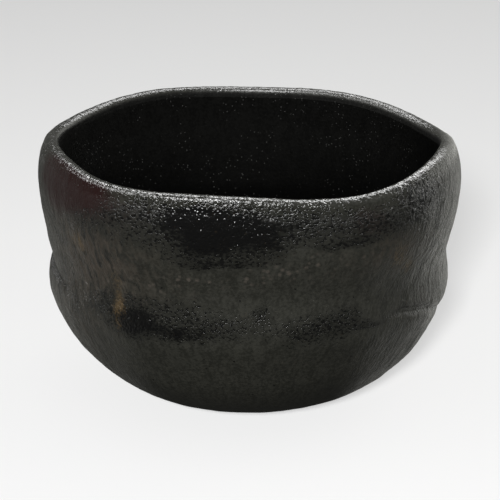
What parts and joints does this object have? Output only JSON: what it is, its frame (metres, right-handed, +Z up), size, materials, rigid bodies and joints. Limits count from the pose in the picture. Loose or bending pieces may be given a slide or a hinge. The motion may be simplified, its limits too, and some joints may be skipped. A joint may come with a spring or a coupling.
{
  "type": "matcha bowl",
  "caption": "Hand-formed round tea bowl with a waisted wall, a gently waving rounded lip, a black glaze inside and out, and a low foot ring of bare-edged clay.",
  "frame": {"origin": "on the table, under the middle of the bowl's box", "axes": "+Z up out of the mouth; the front, the side the picture shows, faces -Y; +X is to its right"},
  "size_m": [0.1239, 0.1264, 0.0802],
  "materials": {
    "raku_clay": "bare, coarse and matt",
    "outer_black_glaze": "satin black with an olive cast, pitted and glossy in places, with small ochre and oxblood blushes",
    "inner_black_glaze": "deep black, soft gloss"
  },
  "bodies": {
    "root": {"clay_body": "raku_clay", "foot_ring": "raku_clay", "inner_glaze": "inner_black_glaze", "outer_glaze": "outer_black_glaze", "well_glaze": "outer_black_glaze"}
  },
  "joints": []
}
